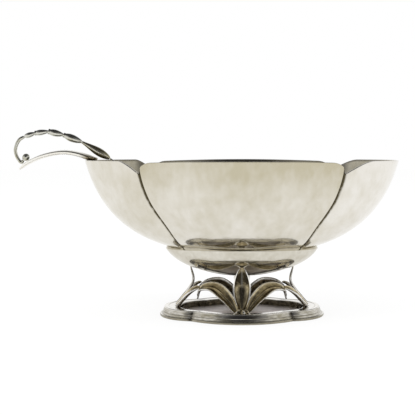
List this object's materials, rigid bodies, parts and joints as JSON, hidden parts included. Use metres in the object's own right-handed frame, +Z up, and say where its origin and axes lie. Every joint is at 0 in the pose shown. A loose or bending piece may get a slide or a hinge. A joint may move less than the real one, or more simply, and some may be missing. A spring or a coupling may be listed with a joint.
{
  "type": "sauce boat with ladle",
  "caption": "Four-lobed oval sauce boat on a stepped foot of openwork leaves, with a strap handle and a lift-out hooked ladle.",
  "frame": {"origin": "on the table, under the middle of the whole length from the ladle's hook to the far end of the bowl", "axes": "+X along the length, away from the strap handle; +Y across; +Z up"},
  "size_m": [0.2418, 0.124, 0.1164],
  "materials": {
    "bowl_silver": "polished silver with a light warm tarnish and fine scratches",
    "dish_silver": "polished silver, mirrors the leaves under it",
    "foot_silver": "polished mouldings with dark tarnish in the hollows",
    "floor_silver": "plain plate with a grey bloom",
    "leaf_silver": "bright edges, dark bronze tarnish in the troughs",
    "strap_silver": "polished silver",
    "ladle_handle_silver": "dark tarnish with rubbed seams",
    "ladle_cup_silver": "polished silver"
  },
  "bodies": {
    "boat": {"bowl": "bowl_silver", "under_dish": "dish_silver", "foot_ring": "foot_silver", "foot_floor": "floor_silver", "upright_leaf_front": "leaf_silver", "upright_leaf_back": "leaf_silver", "upright_leaf_left": "leaf_silver", "upright_leaf_right": "leaf_silver", "arch_leaf_front_left": "leaf_silver", "arch_leaf_left_front": "leaf_silver", "arch_leaf_front_right": "leaf_silver", "arch_leaf_right_front": "leaf_silver", "arch_leaf_back_left": "leaf_silver", "arch_leaf_left_back": "leaf_silver", "arch_leaf_back_right": "leaf_silver", "arch_leaf_right_back": "leaf_silver", "root_collar_front": "leaf_silver", "root_collar_back": "leaf_silver", "strap_handle": "strap_silver"},
    "ladle": {"ladle_cup": "ladle_cup_silver", "ladle_neck": "ladle_cup_silver", "leaf_pod_1": "ladle_handle_silver", "leaf_pod_2": "ladle_handle_silver", "leaf_pod_3": "ladle_handle_silver", "leaf_pod_4": "ladle_handle_silver", "leaf_pod_5": "ladle_handle_silver", "ladle_tendril": "ladle_handle_silver", "ladle_bead": "ladle_handle_silver"}
  },
  "joints": [
    {"name": "ladle_lift", "type": "slide", "parent": "boat", "child": "ladle", "axis": [0, 0, 1], "range_m": [0, 0.12]}
  ]
}
